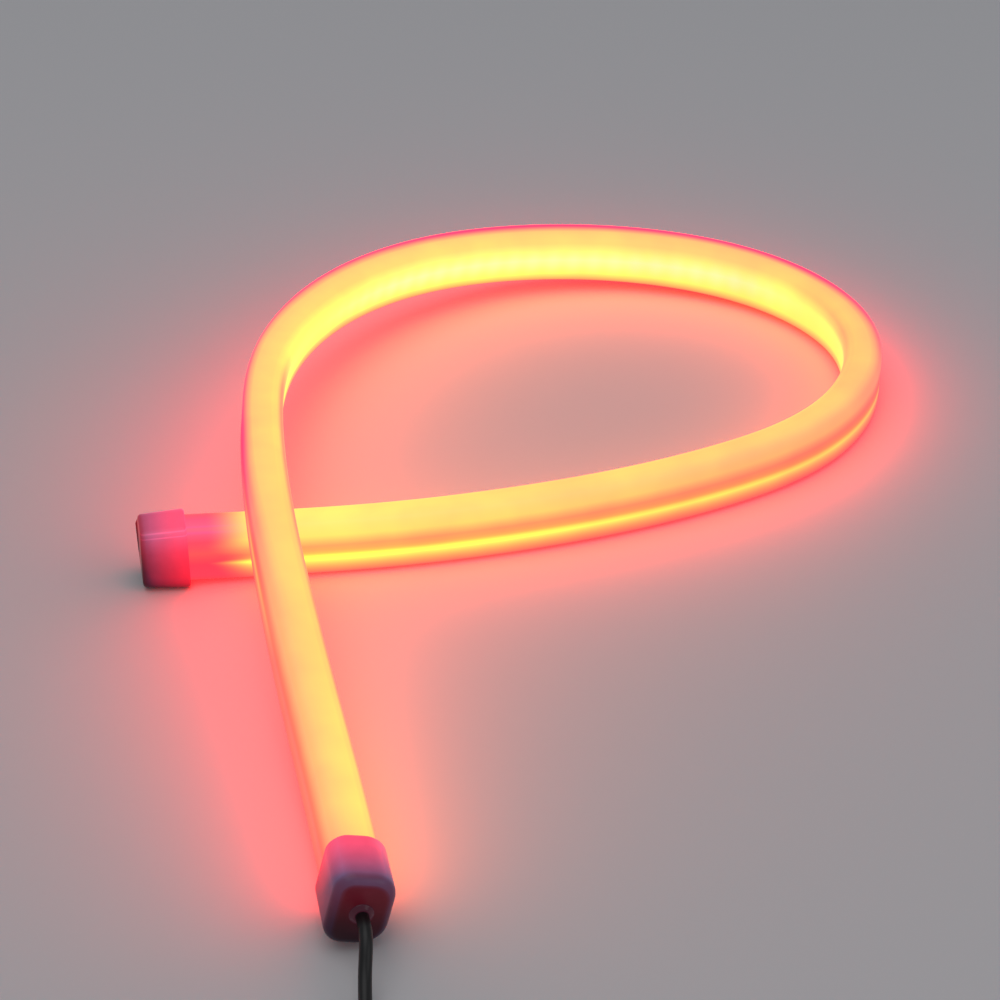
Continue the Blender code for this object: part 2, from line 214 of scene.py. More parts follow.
class StageSettings(bpy.types.PropertyGroup):
    """Camera, floor and lights."""
    camera_place: bpy.props.FloatVectorProperty(
        name="Camera place", description="Where the camera stands",
        size=3, default=(-6.0 * MM, -408.23 * MM, 282.6 * MM), subtype="TRANSLATION",
        unit="LENGTH")
    camera_tilt: bpy.props.FloatProperty(
        name="Camera tilt", description="Angle of the camera's view from straight down",
        default=math.radians(56.49), subtype="ANGLE")
    lens: bpy.props.FloatProperty(
        name="Lens", description="Focal length of the lens", default=91.33, unit="CAMERA")
    floor_colour: bpy.props.StringProperty(
        name="Floor colour", description="sRGB hex colour of the floor", default="#D9D9DB")
    world_light: bpy.props.FloatProperty(
        name="World light", description="Strength of the even light all round", default=0.30, min=0.0)
    soft_light: bpy.props.FloatProperty(
        name="Soft light", description="Power of the large overhead light in watts",
        default=1.6, min=0.0)


# Shared tools

def linear(colour):
    """Turn an sRGB hex colour into linear RGBA."""
    values = [int(colour[k:k + 2], 16) / 255.0 for k in (1, 3, 5)]
    return (*[v / 12.92 if v <= 0.04045 else ((v + 0.055) / 1.055) ** 2.4 for v in values], 1.0)


def add_node(tree, kind, inputs=None, stops=None, **settings):
    """Add a node with its settings, its input values or links, and its ramp stops."""
    node = tree.nodes.new(kind)
    for key, value in settings.items():
        setattr(node, key, value)
    for key, value in (inputs or {}).items():
        if isinstance(value, bpy.types.NodeSocket):
            tree.links.new(value, node.inputs[key])
        else:
            node.inputs[key].default_value = value
    if stops:
        ramp = node.color_ramp
        while len(ramp.elements) < len(stops):
            ramp.elements.new(1.0)
        for stop, (position, value) in zip(ramp.elements, stops):
            stop.position = position
            stop.color = linear(value) if isinstance(value, str) else (value, value, value, 1.0)
    return node


def new_material(name):
    """Return an empty node material and its tree."""
    finish = bpy.data.materials.new(name)
    finish.use_nodes = True
    finish.node_tree.nodes.clear()
    return finish, finish.node_tree


def name_new_piece(name):
    """Name the primitive that was just added, move its place into its mesh and return it."""
    piece = bpy.context.object
    piece.name = piece.data.name = name
    bpy.ops.object.transform_apply(location=True, rotation=True, scale=True)
    return piece


def start_block(name, low, high):
    """Add a cube, shape it to a block between two corners and leave it open in edit mode."""
    bpy.ops.object.select_all(action="DESELECT")
    bpy.ops.mesh.primitive_cube_add(size=1.0, location=(0.0, 0.0, 0.0))
    piece = name_new_piece(name)
    bpy.ops.object.mode_set(mode="EDIT")
    bpy.ops.mesh.select_all(action="SELECT")
    bpy.ops.transform.resize(value=Vector(high) - Vector(low))
    bpy.ops.transform.translate(value=(Vector(low) + Vector(high)) / 2)
    return piece


def start_rod(name, sides, radius, length, centre):
    """Add a round rod along X, with the middle of its length at a place on X."""
    bpy.ops.object.select_all(action="DESELECT")
    bpy.ops.mesh.primitive_cylinder_add(
        vertices=sides, radius=radius, depth=length, location=(centre, 0.0, 0.0),
        rotation=(0.0, math.pi / 2, 0.0))
    return name_new_piece(name)


def pick(kind, test):
    """Select the faces, edges or vertices of the open mesh that pass a test."""
    bpy.ops.mesh.select_mode(type=kind)
    bpy.ops.mesh.select_all(action="DESELECT")
    data = bpy.context.edit_object.data
    shape = bmesh.from_edit_mesh(data)
    group = {"FACE": shape.faces, "EDGE": shape.edges, "VERT": shape.verts}[kind]
    found = [part for part in group if test(part)]
    if not found:
        raise RuntimeError("nothing to select on " + data.name)
    for part in found:
        part.select_set(True)
    shape.select_flush_mode()
    bmesh.update_edit_mesh(data)


def runs_along_x(edge):
    """Whether an edge runs along X."""
    step = edge.verts[1].co - edge.verts[0].co
    return abs(step.x) > 0.9 * step.length


def middle(edge):
    """The middle of an edge."""
    return (edge.verts[0].co + edge.verts[1].co) / 2


def apply_modifier(piece, kind, name, **settings):
    """Add a modifier with its settings and apply it."""
    step = piece.modifiers.new(name, kind)
    for key, value in settings.items():
        setattr(step, key, value)
    bpy.context.view_layer.objects.active = piece
    bpy.ops.object.modifier_apply(modifier=step.name)


def keep_rest(piece):
    """Store each point's place before the piece is bent or moved, for its material."""
    data = piece.data
    spots = np.empty(3 * len(data.vertices), dtype=np.float32)
    data.vertices.foreach_get("co", spots)
    data.attributes.new("rest", "FLOAT_VECTOR", "POINT").data.foreach_set("vector", spots)


def select_only(piece):
    """Select one piece alone and make it the active one."""
    bpy.ops.object.select_all(action="DESELECT")
    piece.select_set(True)
    bpy.context.view_layer.objects.active = piece


def place(piece, matrix):
    """Move a piece to its place and apply that to its mesh."""
    select_only(piece)
    piece.matrix_world = matrix
    bpy.ops.object.transform_apply(location=True, rotation=True, scale=True)


def finish_piece(piece, finish, node, angle=35.0):
    """Smooth a mesh, give it its material and hang it on the frame in place of its CAD node."""
    select_only(piece)
    bpy.ops.object.shade_smooth_by_angle(angle=math.radians(angle))
    piece.data.materials.append(finish)
    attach(piece, "root")
    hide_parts(node)


def eased(value, start, end):
    """Ease from 0 to 1 between two values."""
    share = min(max((value - start) / (end - start), 0.0), 1.0)
    return share * share * (3.0 - 2.0 * share)


def smooth_curve(points):
    """Return a function that reads a natural cubic curve at a length, and the whole length."""
    rows = np.array(points, dtype=float)
    steps = np.linalg.norm(np.diff(rows[:, :3], axis=0), axis=1)
    knots = np.concatenate([[0.0], np.cumsum(steps)])
    count = len(rows)
    matrix = np.eye(count)
    right = np.zeros_like(rows)
    for i in range(1, count - 1):
        matrix[i, i - 1] = steps[i - 1]
        matrix[i, i] = 2.0 * (steps[i - 1] + steps[i])
        matrix[i, i + 1] = steps[i]
        slope_after = (rows[i + 1] - rows[i]) / steps[i]
        slope_before = (rows[i] - rows[i - 1]) / steps[i - 1]
        right[i] = 6.0 * (slope_after - slope_before)
    bend = np.linalg.solve(matrix, right)

    def read(length):
        i = int(np.clip(np.searchsorted(knots, length) - 1, 0, count - 2))
        span = steps[i]
        before = knots[i + 1] - length
        after = length - knots[i]
        value = bend[i] * before ** 3 / (6.0 * span) + bend[i + 1] * after ** 3 / (6.0 * span)
        value += (rows[i] / span - bend[i] * span / 6.0) * before
        value += (rows[i + 1] / span - bend[i + 1] * span / 6.0) * after
        return value

    return read, knots[-1]


def even_points(points, spacing):
    """Read a smooth curve through the points at equal steps, close to the given spacing."""
    read, total = smooth_curve(points)
    readings = 40 * len(points)
    fine = np.array([read(value) for value in np.linspace(0.0, total, readings)])
    steps = np.linalg.norm(np.diff(fine[:, :3], axis=0), axis=1)
    lengths = np.concatenate([[0.0], np.cumsum(steps)])
    wanted = np.linspace(0.0, lengths[-1], round(lengths[-1] / spacing) + 1)
    return np.stack([np.interp(wanted, lengths, fine[:, k]) for k in range(fine.shape[1])], axis=1)


def tube_stations(spacing):
    """The tube's centre line as rows of x, y, z in metres and lean in degrees."""
    route = [(*(Vector(row[:3]) * MM + LAYOUT_SHIFT), row[3]) for row in TUBE_ROUTE]
    return even_points(route, spacing)


def section_frame(position, tangent, lean):
    """Return the matrix whose X runs along the tube, Y to the emitting side and Z up the section."""
    tangent = Vector(tangent).normalized()
    inward = Vector((0.0, 0.0, 1.0)).cross(tangent).normalized()
    upward = tangent.cross(inward)
    turn = Matrix.Rotation(-math.radians(lean), 3, tangent)
    columns = Matrix((tangent, turn @ inward, turn @ upward)).transposed()
    return Matrix.Translation(Vector(position)) @ columns.to_4x4()


def end_frames():
    """The frames of the tube's two ends; both have X pointing from the closed end to the lead."""
    stations = tube_stations(LED_PITCH)
    along = Vector(stations[1][:3]) - Vector(stations[0][:3])
    along.z = 0.0
    closed = section_frame(stations[0][:3], along, stations[0][3])
    opened = section_frame(stations[-1][:3], stations[-1][:3] - stations[-2][:3], stations[-1][3])
    return closed, opened


def poly_curve(name, points, diameter=0.0, tilts=None):
    """Add a curve object with one open line through the points, a round cord if it has a diameter."""
    data = bpy.data.curves.new(name, "CURVE")
    data.dimensions = "3D"
    data.twist_mode = "Z_UP"
    data.bevel_depth = diameter / 2
    data.bevel_resolution = 6
    data.use_fill_caps = True
    line = data.splines.new("POLY")
    line.points.add(len(points) - 1)
    for k, (spot, point) in enumerate(zip(line.points, points)):
        spot.co = (point[0], point[1], point[2], 1.0)
        if tilts is not None:
            spot.tilt = tilts[k]
    item = bpy.data.objects.new(name, data)
    bpy.context.scene.collection.objects.link(item)
    return item


# Materials

def lit_silicone(settings, length):
    """Extruded milky silicone with LEDs glowing through it.

    Red is far brighter than the rest, so the floor glows red while the tube itself looks orange
    to yellow. The levels below are how bright its green and blue look. A green level of 0.85 and
    a blue one of 1 are as bright as white."""
    finish, tree = new_material("extruded_milky_silicone_lit")
    rest = add_node(tree, "ShaderNodeAttribute", attribute_type="GEOMETRY", attribute_name="rest")
    axes = add_node(tree, "ShaderNodeSeparateXYZ", {0: rest.outputs["Vector"]})
    # Along the tube: 0 is the closed end and 1 the end with the lead.
    along = add_node(tree, "ShaderNodeMapRange",
                     {"Value": axes.outputs["X"], "From Min": 0.0, "From Max": length})
    turn = add_node(tree, "ShaderNodeMath", {0: axes.outputs["Y"], 1: axes.outputs["Z"]},
                    operation="ARCTAN2")
    # Round the section: 0 and 1 are underneath, 0.25 the back, 0.5 the top, 0.75 the emitting face.
    around = add_node(tree, "ShaderNodeMapRange",
                      {"Value": turn.outputs[0], "From Min": -math.pi, "From Max": math.pi})
    # At the bends and on the front limb the board stands askew, so its light wanders round a little.
    askew = add_node(tree, "ShaderNodeValToRGB", {0: along.outputs[0]}, stops=(
        (0.32, 0.4), (0.39, 0.9), (0.56, 0.9), (0.66, 0.5), (0.70, 0.2), (0.80, 0.2), (0.86, 0.5)))
    sway = 0.07
    wander = add_node(tree, "ShaderNodeMath", {0: askew.outputs[0], 1: -sway, 2: sway / 2},
                      operation="MULTIPLY_ADD")
    turned = add_node(tree, "ShaderNodeMath", {0: around.outputs[0], 1: wander.outputs[0]},
                      operation="ADD")

    face = ((0.500, 0.80), (0.560, 0.83), (0.610, 0.97), (0.640, 1.00), (0.815, 0.98),
            (0.850, 0.74), (0.890, 0.50), (0.920, 0.46), (0.970, 0.34), (1.000, 0.28))
    back_blue = ((0.00, 0.30), (0.10, 0.38), (0.14, 0.40), (0.18, 0.42), (0.22, 0.37),
                 (0.28, 0.40), (0.36, 0.45), (0.42, 0.49))
    foot_blue = ((0.85, 0.44), (0.92, 0.37), (1.00, 0.30))
    profiles = (
        (around, {
            # A clear back leaks light as a thin bright line low down, beside the board.
            "clear_back": (
                (0.000, 0.30), (0.090, 0.34), (0.120, 0.50), (0.158, 0.77), (0.183, 0.96),
                (0.203, 0.86), (0.226, 0.65), (0.250, 0.58), (0.290, 0.55), (0.330, 0.66),
                (0.362, 0.77), (0.440, 0.79), (0.500, 0.80), (0.560, 0.785), (0.580, 0.81),
                (0.620, 0.97), *face[3:]),
            # Towards the lead the light comes evenly through the upper part of the back.
            "even_back": (
                (0.000, 0.30), (0.120, 0.40), (0.160, 0.44), (0.220, 0.42), (0.250, 0.45),
                (0.310, 0.54), (0.400, 0.68), (0.440, 0.75), (0.470, 0.78), *face),
            # The light is weaker at the corner above the emitting face.
            "corner_loss": (
                (0.545, 0.0), (0.572, 0.09), (0.582, 0.20), (0.600, 0.42), (0.612, 0.42),
                (0.640, 0.34), (0.680, 0.0)),
            # Before the first LED only a little light runs along the tube. The green rise at 0.42 and
            # the blue peaks at 0.405 and 0.436 are painted highlights, fine lines of the room's
            # reflection along the top-back corner.
            "unlit": (
                (0.00, 0.22), (0.10, 0.25), (0.18, 0.24), (0.28, 0.31), (0.36, 0.28),
                (0.42, 0.35), (0.50, 0.31), (0.60, 0.31), (0.85, 0.26), (0.95, 0.15)),
            "unlit_blue_painted_glints": (
                (0.00, 0.28), (0.10, 0.34), (0.12, 0.37), (0.20, 0.36), (0.28, 0.37),
                (0.36, 0.41), (0.395, 0.50), (0.405, 0.57), (0.415, 0.52), (0.428, 0.52),
                (0.436, 0.58), (0.446, 0.53), (0.50, 0.50), (0.57, 0.40), (0.85, 0.35),
                (0.95, 0.15)),
            # The first LED's light comes on as two cones.
            "cones": (
                (0.10, 0.66), (0.165, 0.58), (0.190, 0.52), (0.215, 0.66), (0.250, 0.65),
                (0.290, 0.53), (0.330, 0.50), (0.380, 0.53), (0.500, 0.52), (0.900, 0.58)),
            # A pale band runs along the middle of the emitting face.
            "band_blue": (
                *back_blue, (0.58, 0.48), (0.63, 0.51), (0.71, 0.65), (0.77, 0.58), *foot_blue),
            "plain_blue": (*back_blue, (0.60, 0.46), (0.70, 0.48), *foot_blue),
            # The LEDs' lumps of light are seen on the emitting face only.
            "lumps_seen": ((0.60, 0.0), (0.68, 0.02), (0.80, 0.02), (0.87, 0.0)),
        }),
        (turned, {
            # The bends and the front limb show a dim back.
            "dim_back": (
                (0.000, 0.20), (0.130, 0.24), (0.180, 0.26), (0.220, 0.22), (0.290, 0.19),
                (0.350, 0.18), (0.390, 0.21), (0.412, 0.29), (0.440, 0.60), (0.465, 0.77),
                *face),
        }),
        (along, {
            # How far the back is the dim one, and then the even one.
            "dimming": (
                (0.14, 0.0), (0.23, 0.12), (0.28, 0.2), (0.31, 0.3), (0.36, 0.85), (0.40, 1.0),
                (0.77, 1.0), (0.82, 0.45), (0.86, 0.3)),
            "evening": ((0.83, 0.0), (0.88, 1.0)),
            # The light fades slowly along the strip.
            "fading": (
                (0.08, 1.0), (0.16, 0.92), (0.30, 0.84), (0.42, 0.85), (0.55, 0.90),
                (0.68, 0.90), (0.76, 0.86), (0.90, 0.91), (0.965, 0.95), (0.99, 0.82)),
            # The share of light that the corner keeps is smallest from the left bend on.
            "corner_light": (
                (0.20, 1.0), (0.28, 0.9), (0.32, 0.4), (0.35, 0.4), (0.40, 1.0), (0.70, 1.0),
                (0.735, 0.0)),
            # The pale band ends at the two bends.
            "band": ((0.385, 0.0), (0.43, 1.0), (0.60, 1.0), (0.66, 0.0)),
        }),
    )
    level = {}
    for source, rows in profiles:
        for name, stops in rows.items():
            ramp = add_node(tree, "ShaderNodeValToRGB", {0: source.outputs[0]}, stops=stops)
            level[name] = ramp.outputs[0]

    back = add_node(tree, "ShaderNodeMix",
                    {0: level["dimming"], 2: level["clear_back"], 3: level["dim_back"]})
    lit = add_node(tree, "ShaderNodeMix",
                   {0: level["evening"], 2: back.outputs[0], 3: level["even_back"]}).outputs[0]
    # Slow uneven patches along the tube, about 11 mm long, from the extrusion.
    patches = add_node(tree, "ShaderNodeTexNoise",
                       {"Vector": rest.outputs["Vector"], "Scale": 1.0 / (11.1 * MM), "Detail": 2.0})
    uneven = add_node(tree, "ShaderNodeMapRange",
                      {"Value": patches.outputs["Fac"], "From Min": 0.3, "From Max": 0.7,
                       "To Min": 0.97, "To Max": 1.03})
    kept = add_node(tree, "ShaderNodeMath",
                    {0: level["corner_loss"], 1: level["corner_light"], 2: 1.0},
                    operation="MULTIPLY_ADD")
    corner = add_node(tree, "ShaderNodeMath", {0: kept.outputs[0], 1: level["corner_loss"]},
                      operation="SUBTRACT")
    for share in (level["fading"], uneven.outputs[0], corner.outputs[0]):
        lit = add_node(tree, "ShaderNodeMath", {0: lit, 1: share}, operation="MULTIPLY").outputs[0]

    # The first LED's light begins 10 to 13 mm from the closed end, and is full 10 mm further on.
    first = add_node(tree, "ShaderNodeMath", {0: level["cones"], 1: 20.0 * MM},
                     operation="MULTIPLY")
    full = add_node(tree, "ShaderNodeMath", {0: first.outputs[0], 1: 10.0 * MM}, operation="ADD")
    reach = add_node(tree, "ShaderNodeMapRange",
                     {"Value": axes.outputs["X"], "From Min": first.outputs[0],
                      "From Max": full.outputs[0]}, interpolation_type="SMOOTHSTEP").outputs[0]
    green = add_node(tree, "ShaderNodeMix", {0: reach, 2: level["unlit"], 3: lit})

    # One soft lump of light at each LED.
    wave = add_node(tree, "ShaderNodeMath",
                    {0: axes.outputs["X"], 1: 2 * math.pi / LED_PITCH}, operation="MULTIPLY")
    lump = add_node(tree, "ShaderNodeMath", {0: wave.outputs[0]}, operation="COSINE")
    lumpy = add_node(tree, "ShaderNodeMath",
                     {0: lump.outputs[0], 1: level["lumps_seen"], 2: level["band_blue"]},
                     operation="MULTIPLY_ADD")
    lit_blue = add_node(tree, "ShaderNodeMix",
                        {0: level["band"], 2: level["plain_blue"], 3: lumpy.outputs[0]})
    blue = add_node(tree, "ShaderNodeMix",
                    {0: reach, 2: level["unlit_blue_painted_glints"], 3: lit_blue.outputs[0]})

    # What the skin mirrors of the room comes on top, so that much is taken off its own light.
    mirrored = 0.0025
    shares = []
    for value, white in ((green, 0.85), (blue, 1.0)):
        straight = add_node(tree, "ShaderNodeMath", {0: value.outputs[0], 1: GAMMA},
                            operation="POWER")
        shares.append(add_node(
            tree, "ShaderNodeMath",
            {0: straight.outputs[0], 1: white ** -GAMMA / settings.light, 2: -mirrored},
            operation="MULTIPLY_ADD", use_clamp=True).outputs[0])
    light = add_node(tree, "ShaderNodeCombineColor", {0: 1.0, 1: shares[0], 2: shares[1]})
    # The die leaves a satin grain. It is finer on the real skin, and 0.7 mm here so that it shows.
    grain = add_node(tree, "ShaderNodeTexNoise",
                     {"Vector": rest.outputs["Vector"], "Scale": 1.0 / (0.714 * MM), "Detail": 3.0})
    bump = add_node(tree, "ShaderNodeBump",
                    {"Strength": 0.15, "Distance": 0.05 * MM, "Height": grain.outputs["Fac"]})
    shader = add_node(tree, "ShaderNodeBsdfPrincipled", {
        "Base Color": linear(settings.skin_colour), "Roughness": 0.42, "IOR": 1.41,
        "Specular IOR Level": 0.35, "Emission Color": light.outputs[0],
        "Emission Strength": settings.light, "Normal": bump.outputs[0]})
    add_node(tree, "ShaderNodeOutputMaterial", {"Surface": shader.outputs[0]})
    return finish


def cap_silicone_painted_light(name, tones, end, rim, slant, painted_glint, red_stops, shade_stops):
    """Moulded milky silicone, lit by painted light. A painted red glow stands for the LEDs' light
    that reaches it through the tube. It fades towards its end wall, and painted shade darkens its
    foot. Its top is painted paler than its sides, as the light that falls on it from above would make
    it. Two fine painted glints, thin highlight lines, run along its upper corner."""
    finish, tree = new_material(name)
    rest = add_node(tree, "ShaderNodeAttribute", attribute_type="GEOMETRY", attribute_name="rest")
    axes = add_node(tree, "ShaderNodeSeparateXYZ", {0: rest.outputs["Vector"]})
    # From the end wall to the rim, and from the foot to the top, both from 0 to 1.
    along = add_node(tree, "ShaderNodeMapRange",
                     {"Value": axes.outputs["X"], "From Min": end, "From Max": rim})
    # Just over half of a cap's height.
    half_high = 7.0 * MM
    upward = add_node(tree, "ShaderNodeMapRange",
                      {"Value": axes.outputs["Z"], "From Min": -half_high, "From Max": half_high})
    # The red reaches further along the top than along the foot.
    slanted = add_node(tree, "ShaderNodeMath", {0: upward.outputs[0], 1: slant, 2: along.outputs[0]},
                       operation="MULTIPLY_ADD")
    inward = add_node(tree, "ShaderNodeMath", {0: slanted.outputs[0], 1: 1 + slant},
                      operation="DIVIDE")
    # Faint clouds in the milky silicone, about 3 mm across.
    cloud = add_node(tree, "ShaderNodeTexNoise",
                     {"Vector": rest.outputs["Vector"], "Scale": 1.0 / (3.33 * MM), "Detail": 3.0})
    milky = add_node(tree, "ShaderNodeMapRange",
                     {"Value": cloud.outputs["Fac"], "From Min": 0.3, "From Max": 0.7,
                      "To Min": 0.98, "To Max": 1.02})
    # Two painted glints: thin lines of painted highlight along the upper corner.
    painted_glint_lines = add_node(tree, "ShaderNodeValToRGB", {0: upward.outputs[0]},
                      stops=((0.898, 0.0), (0.910, painted_glint), (0.922, 0.0), (0.953, 0.0), (0.965, painted_glint),
                             (0.977, 0.0)))
    # Red, green and blue each have their levels from the end wall on and from the foot up. All three
    # are painted light: the red is a painted glow with painted shade at the foot, and green and blue
    # rise towards the top as painted light from above.
    channels = (
        (inward, red_stops, ((0.0, 0.45), (0.06, 0.62), (0.14, 0.88), (0.25, 1.0))),
        (along, shade_stops, ((0.0, 0.05), (0.12, 0.11), (0.20, 0.14), (0.50, 0.19), (0.65, 0.22),
                              (0.85, 0.30), (0.95, 0.36), (1.0, 0.32))),
        (along, shade_stops, ((0.0, 0.10), (0.12, 0.19), (0.20, 0.23), (0.50, 0.29), (0.65, 0.33),
                              (0.85, 0.43), (0.95, 0.51), (1.0, 0.46))))
    shares = []
    for direction, lengthwise, upwards in channels:
        share = add_node(tree, "ShaderNodeMath", {0: milky.outputs[0], 1: painted_glint_lines.outputs[0]},
                         operation="ADD").outputs[0]
        for source, stops in ((direction, lengthwise), (upward, upwards)):
            ramp = add_node(tree, "ShaderNodeValToRGB", {0: source.outputs[0]}, stops=stops)
            share = add_node(tree, "ShaderNodeMath", {0: share, 1: ramp.outputs[0]},
                             operation="MULTIPLY").outputs[0]
        shares.append(add_node(tree, "ShaderNodeMath", {0: share, 1: GAMMA},
                               operation="POWER").outputs[0])
    painted_glow = add_node(tree, "ShaderNodeCombineColor", dict(enumerate(shares)))
    tone = add_node(tree, "ShaderNodeValToRGB", {0: cloud.outputs["Fac"]},
                    stops=tuple(zip((0.35, 0.65), tones)))
    bump = add_node(tree, "ShaderNodeBump",
                    {"Strength": 0.12, "Distance": 0.1 * MM, "Height": cloud.outputs["Fac"]})
    shader = add_node(tree, "ShaderNodeBsdfPrincipled", {
        "Base Color": tone.outputs[0], "Roughness": 0.28, "IOR": 1.41,
        "Specular IOR Level": 0.35, "Emission Color": painted_glow.outputs[0], "Emission Strength": 1.0,
        "Normal": bump.outputs[0]})
    add_node(tree, "ShaderNodeOutputMaterial", {"Surface": shader.outputs[0]})
    return finish


def clear_sealant_painted_glow():
    """Cured silicone sealant: clear over the dull red cap, wet looking, with bluish highlights and
    clouds about 1 mm across. The lit cap seen through it is a painted dull red glow."""
    finish, tree = new_material("cured_clear_silicone_sealant_painted_glow")
    spots = add_node(tree, "ShaderNodeTexCoord")
    cloud = add_node(tree, "ShaderNodeTexNoise",
                     {"Vector": spots.outputs["Object"], "Scale": 1.0 / (1.11 * MM), "Detail": 2.0})
    tone = add_node(tree, "ShaderNodeValToRGB", {0: cloud.outputs["Fac"]},
                    stops=((0.3, "#20090F"), (0.7, "#2A0F17")))
    # The emission is a painted glow: the dull red of the lit cap under the clear sealant.
    shader = add_node(tree, "ShaderNodeBsdfPrincipled", {
        "Base Color": tone.outputs[0], "Roughness": 0.16, "IOR": 1.41,
        "Emission Color": linear("#34121E"), "Emission Strength": 1.0})
    add_node(tree, "ShaderNodeOutputMaterial", {"Surface": shader.outputs[0]})
    return finish


def pvc(name, dark, pale):
    """Extruded PVC insulation: satin, with the faint streaks that the die leaves. They are finer on
    the real one, and 1 mm wide here so that they show."""
    finish, tree = new_material(name)
    spots = add_node(tree, "ShaderNodeTexCoord")
    streaks = add_node(tree, "ShaderNodeTexNoise",
                       {"Vector": spots.outputs["Object"], "Scale": 1.0 / (1.11 * MM), "Detail": 3.0})
    tone = add_node(tree, "ShaderNodeValToRGB", {0: streaks.outputs["Fac"]},
                    stops=((0.3, dark), (0.7, pale)))
    bump = add_node(tree, "ShaderNodeBump",
                    {"Strength": 0.2, "Distance": 0.05 * MM, "Height": streaks.outputs["Fac"]})
    shader = add_node(tree, "ShaderNodeBsdfPrincipled", {
        "Base Color": tone.outputs[0], "Roughness": 0.4, "IOR": 1.53,
        "Normal": bump.outputs[0]})
    add_node(tree, "ShaderNodeOutputMaterial", {"Surface": shader.outputs[0]})
    return finish


def tinned_copper():
    """Copper strands dipped in solder: bright grey metal, with duller spots about 0.4 mm across."""
    finish, tree = new_material("tinned_copper_strands")
    spots = add_node(tree, "ShaderNodeTexCoord")
    cloud = add_node(tree, "ShaderNodeTexNoise",
                     {"Vector": spots.outputs["Object"], "Scale": 1.0 / (0.4 * MM), "Detail": 2.0})
    rough = add_node(tree, "ShaderNodeMapRange",
                     {"Value": cloud.outputs["Fac"], "To Min": 0.2, "To Max": 0.45})
    shader = add_node(tree, "ShaderNodeBsdfPrincipled", {
        "Base Color": linear("#C9CBCF"), "Metallic": 1.0, "Roughness": rough.outputs[0]})
    add_node(tree, "ShaderNodeOutputMaterial", {"Surface": shader.outputs[0]})
    return finish


def solder_mask():
    """White solder mask, screen printed on the flexible board: satin white with clouds about
    1.4 mm across. The tube hides it."""
    finish, tree = new_material("white_solder_mask")
    spots = add_node(tree, "ShaderNodeTexCoord")
    cloud = add_node(tree, "ShaderNodeTexNoise",
                     {"Vector": spots.outputs["Object"], "Scale": 1.0 / (1.43 * MM), "Detail": 3.0})
    tone = add_node(tree, "ShaderNodeValToRGB", {0: cloud.outputs["Fac"]},
                    stops=((0.3, "#E4E4DE"), (0.7, "#F2F2EE")))
    shader = add_node(tree, "ShaderNodeBsdfPrincipled", {
        "Base Color": tone.outputs[0], "Roughness": 0.5})
    add_node(tree, "ShaderNodeOutputMaterial", {"Surface": shader.outputs[0]})
    return finish


def floor_paint(colour):
    """Rolled matt floor paint: even and pale, with hardly a highlight."""
    finish, tree = new_material("painted_floor")
    shader = add_node(tree, "ShaderNodeBsdfPrincipled", {
        "Base Color": linear(colour), "Roughness": 0.6, "Specular IOR Level": 0.3})
    add_node(tree, "ShaderNodeOutputMaterial", {"Surface": shader.outputs[0]})
    return finish


# Operators

class STRIP_OT_stage(bpy.types.Operator):
    """Make the camera, the floor and the lights"""
    bl_idname = "strip.stage"
    bl_label = "Stage"

    def execute(self, context):
        settings = context.scene.strip_stage
        camera = bpy.data.objects.new("camera", bpy.data.cameras.new("camera"))
        context.scene.collection.objects.link(camera)
        camera.location = settings.camera_place
        camera.rotation_euler = (settings.camera_tilt, 0.0, 0.0)
        camera.data.sensor_width = 36.0
        camera.data.lens = settings.lens
        camera.data.clip_start = 0.01
        context.scene.camera = camera

        # The floor lies a hair below the strip, so that the two don't flicker where they meet.
        bpy.ops.object.select_all(action="DESELECT")
        bpy.ops.mesh.primitive_plane_add(size=8.0, location=(0.0, 0.0, -0.05 * MM))
        floor = name_new_piece("floor")
        floor.data.materials.append(floor_paint(settings.floor_colour))

        # Each light's name, place, width and share of the power.
        for name, spot, size, share in (
                ("light_over", (-0.15, -0.10, 0.9), 0.9, 1.0),
                ("light_side", (0.9, -0.5, 0.6), 0.7, 0.5)):
            lamp = bpy.data.lights.new(name, "AREA")
            lamp.size = size
            lamp.energy = settings.soft_light * share
            item = bpy.data.objects.new(name, lamp)
            item.location = spot
            item.rotation_euler = (-Vector(spot)).to_track_quat("-Z", "Y").to_euler()
            context.scene.collection.objects.link(item)

        world = bpy.data.worlds.new("soft_room")
        world.use_nodes = True
        background = world.node_tree.nodes["Background"]
        background.inputs["Color"].default_value = linear("#E8EAF0")
        background.inputs["Strength"].default_value = settings.world_light
        context.scene.world = world
        context.scene.view_settings.view_transform = "Standard"
        return {"FINISHED"}


